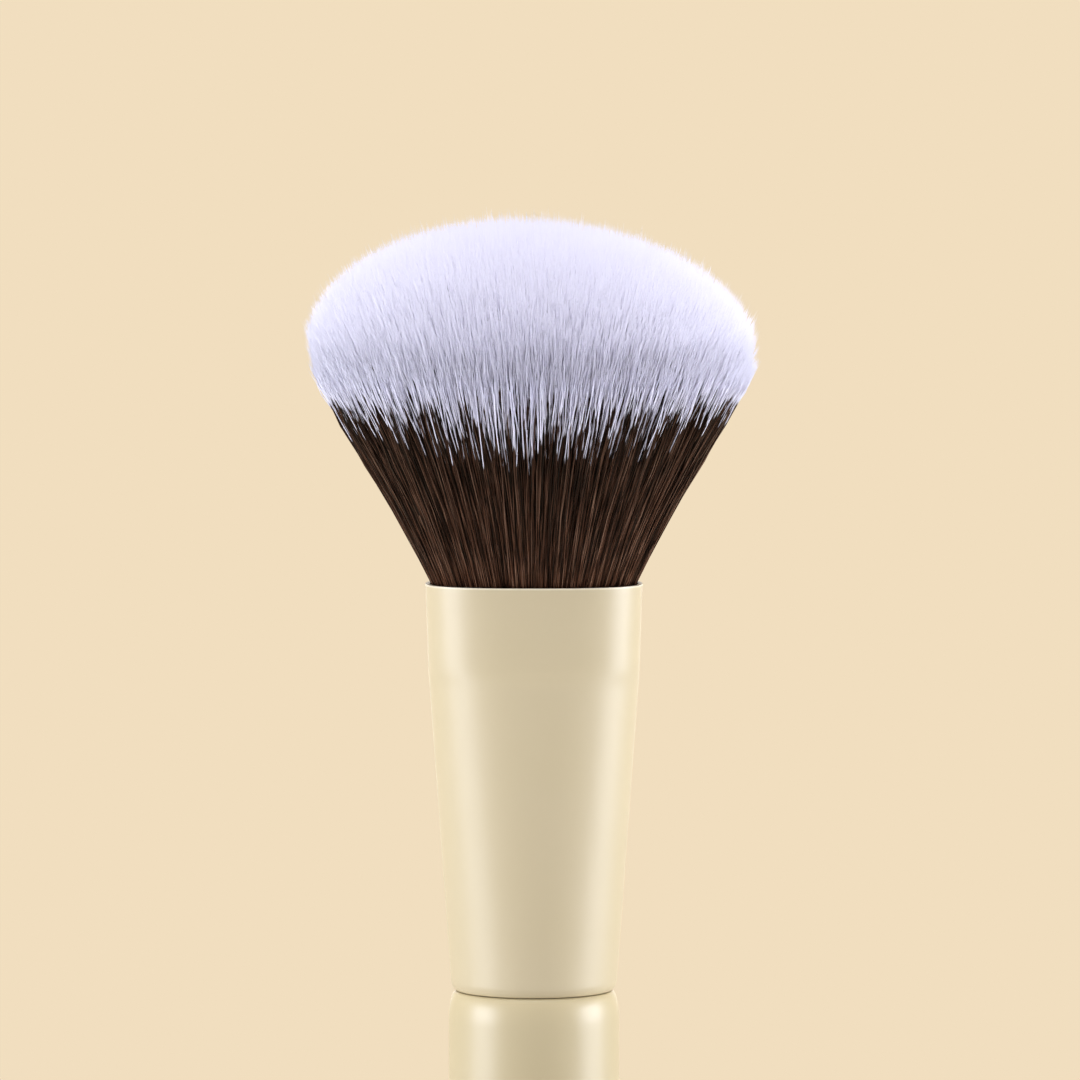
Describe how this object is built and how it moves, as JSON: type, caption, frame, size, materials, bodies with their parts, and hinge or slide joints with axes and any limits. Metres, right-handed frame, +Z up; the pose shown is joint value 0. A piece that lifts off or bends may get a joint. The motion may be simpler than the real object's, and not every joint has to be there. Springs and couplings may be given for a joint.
{
  "type": "powder brush",
  "caption": "Powder brush with a domed two-tone bristle head in a ferrule pressed oval at its mouth, on a turned tapered handle.",
  "frame": {"origin": "middle of the small flat on the handle's lower end", "axes": "+Z up the brush's axis, from the handle to the bristles; +X along the wide side of the ferrule's mouth and of the head"},
  "size_m": [0.0534, 0.0395, 0.1827],
  "materials": {
    "handle_lacquer": "cream gloss lacquer",
    "ferrule_paint": "cream satin paint",
    "resin": "amber epoxy",
    "thread": "waxed cotton",
    "filament": "dark brown synthetic filament with white dyed tips"
  },
  "bodies": {
    "root": {"handle": "handle_lacquer", "ferrule": "ferrule_paint", "tenon_glue": "resin", "resin_knot": "resin", "binding_thread": "thread", "bristles": "filament"}
  },
  "joints": []
}
